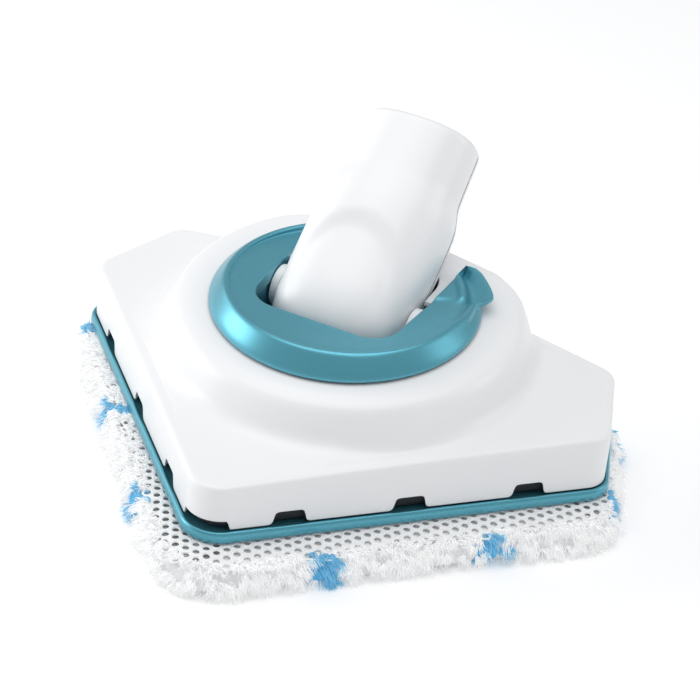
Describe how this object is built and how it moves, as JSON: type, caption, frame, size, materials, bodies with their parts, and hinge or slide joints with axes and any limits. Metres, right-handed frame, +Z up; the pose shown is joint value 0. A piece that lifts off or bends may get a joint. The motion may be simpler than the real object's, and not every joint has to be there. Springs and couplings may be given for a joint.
{
  "type": "steam mop head",
  "caption": "Pointed steam mop head on a fluffy pad, with a swivelling ring and a tilting neck that ends in an open oval socket.",
  "frame": {"origin": "on the floor, straight below the point where the swivel axis meets the top of the head", "axes": "+Z up, -Y towards the head's pointed tip, +Y towards the person who mops, +X to the right of the tip's view"},
  "size_m": [0.3158, 0.2515, 0.1572],
  "materials": {
    "gloss_white": "gloss white moulding",
    "satin_teal": "satin metallic teal moulding",
    "black_plastic": "matt black moulding",
    "grey_plastic": "matt dark grey moulding",
    "acetal": "natural low-friction plastic",
    "silicone": "heat-proof silicone rubber",
    "steel": "bright steel",
    "brass": "turned brass",
    "hook_tape": "hook tape",
    "pad_mesh": "white knitted spacer mesh",
    "pad_pile": "white looped microfibre pile",
    "pad_stripe": "sky blue microfibre pile"
  },
  "bodies": {
    "pad": {"pad_mesh": "pad_mesh", "pad_pile": "pad_pile"},
    "head": {"base_trim": "satin_teal", "chassis": "black_plastic", "cover_screw_1": "steel", "cover_screw_2": "steel", "cover_screw_3": "steel", "cover_screw_4": "steel", "cover_screw_5": "steel", "hook_strip_front": "hook_tape", "hook_strip_left": "hook_tape", "hook_strip_rear": "hook_tape", "hook_strip_right": "hook_tape", "manifold_gasket": "silicone", "sole_plate": "grey_plastic", "steam_hose": "silicone", "steam_manifold": "grey_plastic", "swivel_union": "brass", "upper_cover": "gloss_white"},
    "turret": {"glide_ring": "black_plastic", "pivot_bush_left": "acetal", "pivot_bush_right": "acetal", "retaining_ring": "acetal", "turret_cradle": "satin_teal", "turret_ring": "satin_teal", "turret_screw_1": "steel", "turret_screw_2": "steel", "turret_screw_3": "steel", "turret_screw_4": "steel", "turret_steam_pipe": "steel"},
    "neck": {"neck_front_shell": "gloss_white", "neck_rear_shell": "gloss_white", "neck_steam_tube": "steel", "nipple_seal": "silicone", "socket_liner": "grey_plastic", "trunnion_left": "gloss_white", "trunnion_right": "gloss_white"}
  },
  "joints": [
    {"name": "head_lift", "type": "slide", "parent": "pad", "child": "head", "axis": [0, 0, 1], "range_m": [0, 0.04]},
    {"name": "turret_swivel", "type": "hinge", "parent": "head", "child": "turret", "pos_m": [0, 0, 0.078], "axis": [0, -0.0872, 0.9962], "range_deg": [-90, 90]},
    {"name": "neck_tilt", "type": "hinge", "parent": "turret", "child": "neck", "pos_m": [0, 0.00395, 0.07303], "axis": [1, 0, 0], "range_deg": [0, 48]}
  ]
}
